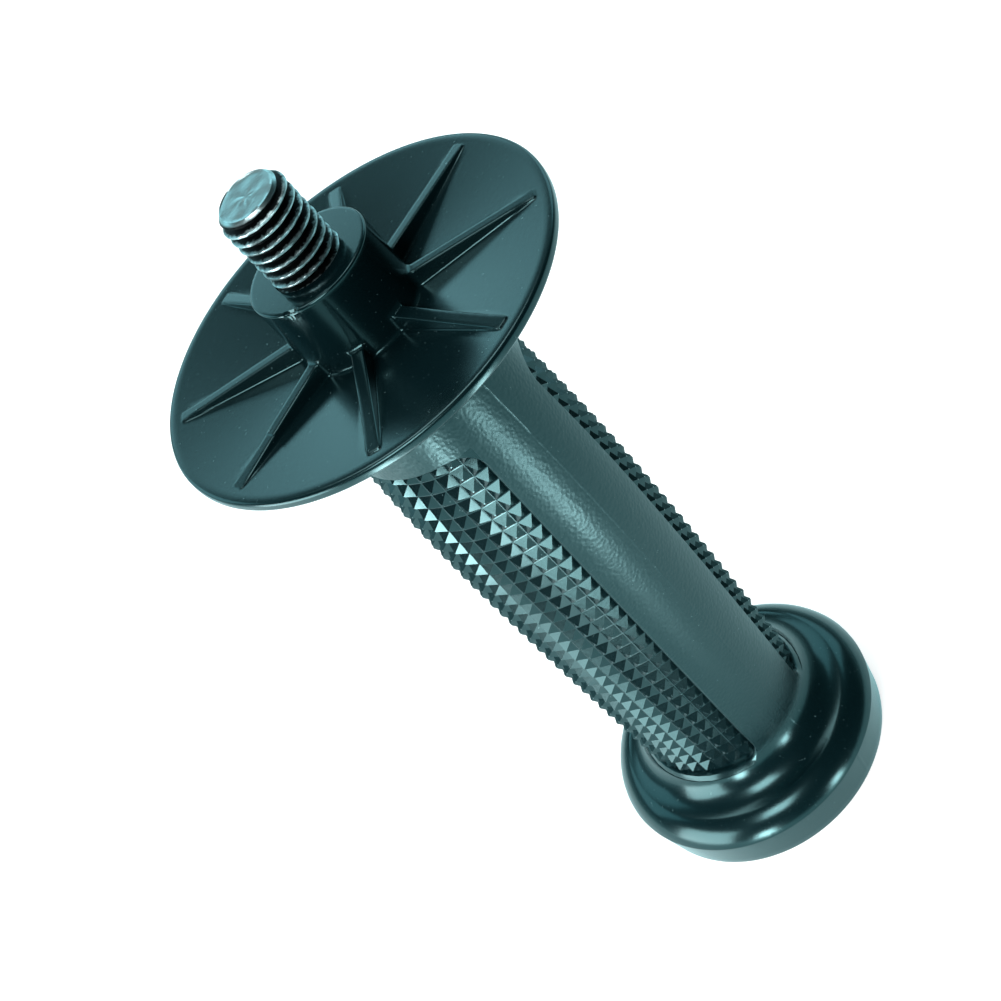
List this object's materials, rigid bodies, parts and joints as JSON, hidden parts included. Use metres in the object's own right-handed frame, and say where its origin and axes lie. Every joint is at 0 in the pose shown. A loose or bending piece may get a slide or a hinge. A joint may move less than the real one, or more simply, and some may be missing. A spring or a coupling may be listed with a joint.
{
  "type": "power tool side handle",
  "caption": "Upright screw-in side handle: barrel grip with two knurled panels, flared knob end, ribbed round guard disc and a threaded steel stud.",
  "frame": {"origin": "centre of the knob's flat base, on the handle's axis", "axes": "+Z along the handle from the knob's base to the stud's free end; the mould's parting plane is X = 0, so the smooth lands face +Y and -Y and the knurled panels face +X and -X"},
  "size_m": [0.0588, 0.0588, 0.1342],
  "materials": {
    "moulded_plastic": "dark blue-green nylon, satin with a fine moulded grain",
    "stud_steel": "oiled steel, dark in the thread roots and bright on the worn crests"
  },
  "bodies": {
    "root": {"handle_body": "moulded_plastic", "threaded_stud": "stud_steel"}
  },
  "joints": []
}
